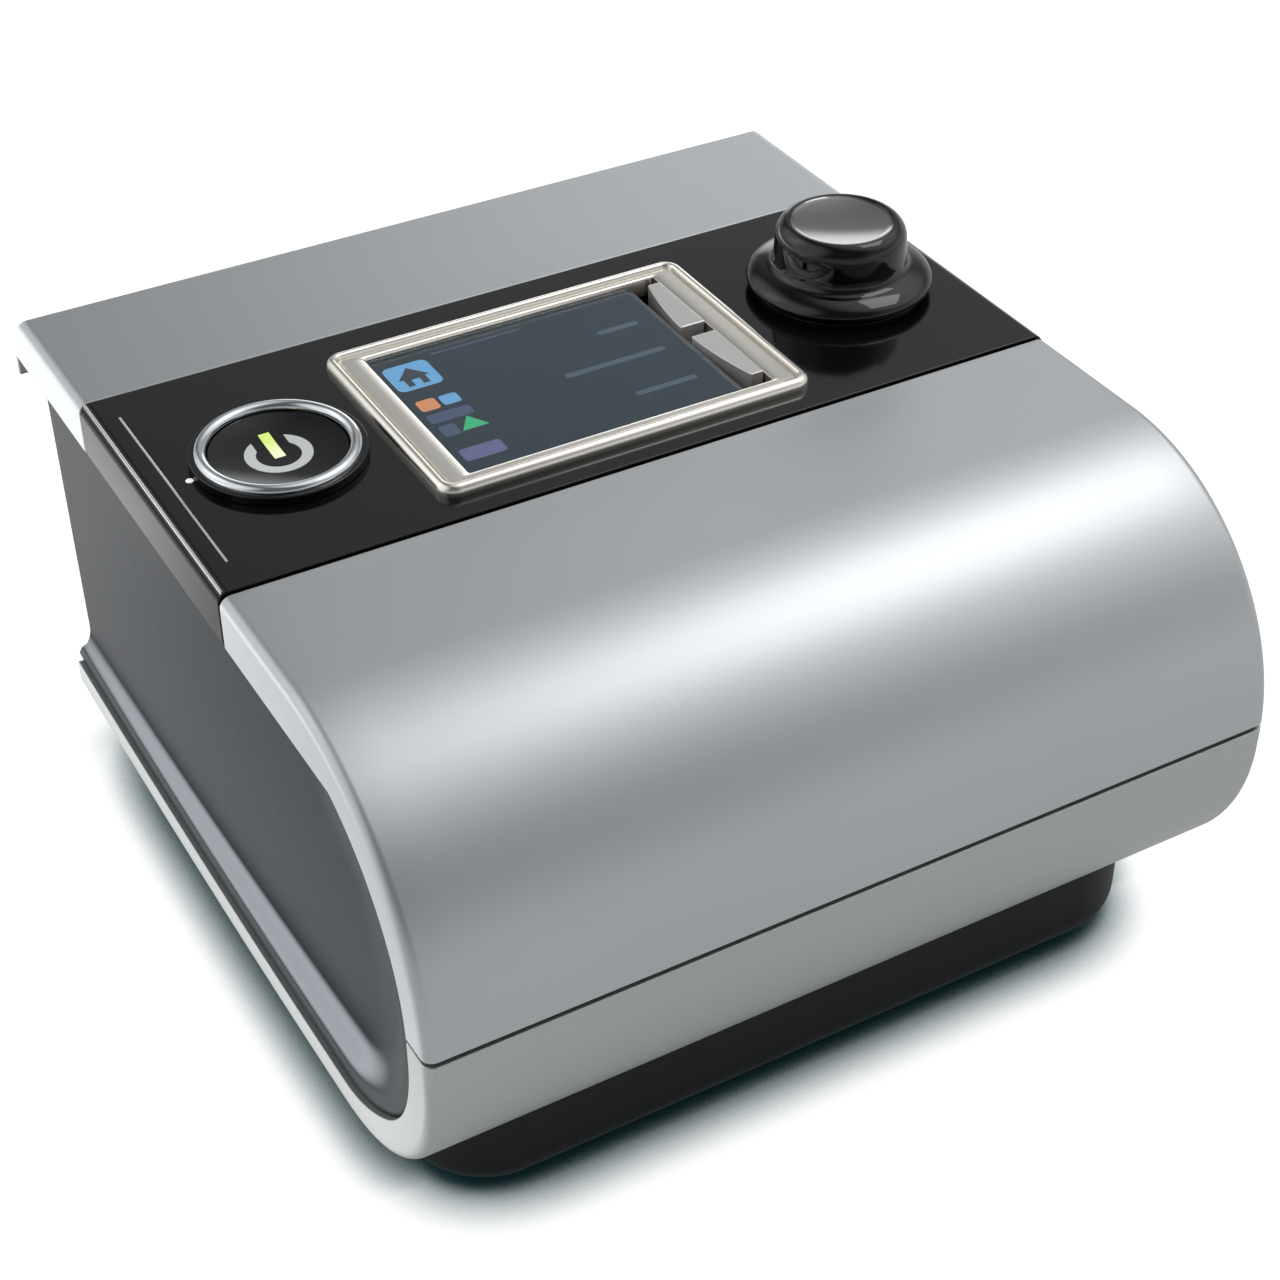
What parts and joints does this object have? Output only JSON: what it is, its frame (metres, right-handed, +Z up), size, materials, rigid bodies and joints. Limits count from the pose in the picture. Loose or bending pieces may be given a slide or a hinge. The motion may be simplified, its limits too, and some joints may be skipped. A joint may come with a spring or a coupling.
{
  "type": "cpap machine",
  "caption": "Bedside CPAP flow generator: curved silver case on a black base, black control band with display, start button and push-and-turn dial, blower inside.",
  "frame": {"origin": "centre of the footprint of the case, at the table", "axes": "+X to the right as the user faces the curved front, +Y to the rear, +Z up"},
  "size_m": [0.14, 0.153, 0.0963],
  "materials": {
    "satin_silver": "satin silver lacquer over plastic, fine grain",
    "satin_silver_low": "satin silver lacquer, a little greener low down",
    "gloss_black": "piano black",
    "slate_plastic": "fine matt slate grey",
    "dark_plastic": "matt charcoal",
    "base_black": "matt black",
    "rubber_grey": "matt dark rubber",
    "champagne_metal": "polished warm silver",
    "window_glass": "clear over a dark blue screen",
    "sheet_metal": "bright sheet",
    "key_silver": "silver lacquer",
    "chrome_trim": "bright chrome",
    "light_pipe": "translucent, lit yellow-green",
    "steel": "plated",
    "white_plastic": "plain",
    "encoder_plastic": "plain",
    "clear_grey_plastic": "pale grey",
    "filter_felt": "white fibre pad",
    "grey_plastic": "plain",
    "card_blue": "plain",
    "board_green": "solder mask",
    "chip_black": "plain",
    "cable_white": "flat flexible cable",
    "volute_plastic": "glass-filled",
    "magnet_iron": "ferrite",
    "copper_wire": "enamelled copper",
    "motor_aluminium": "cast",
    "silicone": "translucent grey",
    "foam_grey": "open-cell acoustic foam"
  },
  "bodies": {
    "housing": {"front_cover": "satin_silver", "rear_cover": "satin_silver", "lower_case": "satin_silver_low", "control_band": "gloss_black", "side_panel_left": "slate_plastic", "side_frame_right": "dark_plastic", "rear_panel": "dark_plastic", "base_tray": "base_black", "rubber_feet": "rubber_grey", "display_bezel": "champagne_metal", "display_window": "window_glass", "display_module": "sheet_metal", "start_collar": "gloss_black", "start_ring": "chrome_trim", "dial_collar": "gloss_black", "dial_encoder": "encoder_plastic", "air_outlet": "clear_grey_plastic", "air_filter": "filter_felt", "filter_frame": "white_plastic", "power_inlet": "dark_plastic", "data_connector": "steel", "card_socket": "steel", "control_board": "board_green", "push_switches": "encoder_plastic", "main_board": "board_green", "board_parts": "chip_black", "flat_cable": "cable_white", "inner_chassis": "dark_plastic", "volute_lower": "volute_plastic", "volute_upper": "volute_plastic", "motor_stator": "copper_wire", "motor_bearings": "steel", "motor_cap": "motor_aluminium", "blower_mounts": "silicone", "inlet_foam": "foam_grey", "outlet_duct": "silicone", "flow_sensor": "chip_black", "case_screws": "steel", "board_screws": "steel"},
    "start_button": {"start_button": "gloss_black", "start_light": "light_pipe"},
    "home_button": {"home_button": "key_silver"},
    "info_button": {"info_button": "key_silver"},
    "dial_plunger": {"dial_plunger": "white_plastic"},
    "dial": {"dial_knob": "gloss_black", "dial_shaft": "steel"},
    "filter_cover": {"filter_cover": "dark_plastic"},
    "power_clip": {"power_clip": "grey_plastic"},
    "port_cover": {"port_cover": "slate_plastic"},
    "memory_card": {"memory_card": "card_blue"},
    "side_cover": {"side_cover_right": "slate_plastic"},
    "rotor": {"impeller": "white_plastic", "fan_shaft": "steel", "rotor_magnet": "magnet_iron"}
  },
  "joints": [
    {"name": "start_press", "type": "slide", "parent": "housing", "child": "start_button", "axis": [0, 0, -1], "range_m": [0, 0.001], "stiffness_N_per_m": 2200},
    {"name": "home_press", "type": "slide", "parent": "housing", "child": "home_button", "axis": [0, 0, -1], "range_m": [0, 0.0006], "stiffness_N_per_m": 2500},
    {"name": "info_press", "type": "slide", "parent": "housing", "child": "info_button", "axis": [0, 0, -1], "range_m": [0, 0.0006], "stiffness_N_per_m": 2500},
    {"name": "dial_press", "type": "slide", "parent": "housing", "child": "dial_plunger", "axis": [0, 0, -1], "range_m": [0, 0.0008], "stiffness_N_per_m": 4000},
    {"name": "dial_turn", "type": "hinge", "parent": "dial_plunger", "child": "dial", "pos_m": [0.0505, 0.0139, 0.0843], "axis": [0, 0, 1], "continuous": true},
    {"name": "filter_cover_hinge", "type": "hinge", "parent": "housing", "child": "filter_cover", "pos_m": [-0.041, 0.0679, 0.0236], "axis": [-1, 0, 0], "range_deg": [0, 100]},
    {"name": "power_clip_hinge", "type": "hinge", "parent": "housing", "child": "power_clip", "pos_m": [-0.002, 0.0681, 0.0386], "axis": [1, 0, 0], "range_deg": [0, 100]},
    {"name": "port_cover_hinge", "type": "hinge", "parent": "housing", "child": "port_cover", "pos_m": [-0.0125, 0.0678, 0.0515], "axis": [0, 0, 1], "range_deg": [0, 95]},
    {"name": "card_slide", "type": "slide", "parent": "housing", "child": "memory_card", "axis": [0, 1, 0], "range_m": [0, 0.028]},
    {"name": "side_cover_slide", "type": "slide", "parent": "housing", "child": "side_cover", "axis": [1, 0, 0], "range_m": [0, 0.025]},
    {"name": "rotor_spin", "type": "hinge", "parent": "housing", "child": "rotor", "pos_m": [0.00731, -0.0195, 0.036], "axis": [0, 0, 1], "continuous": true}
  ]
}
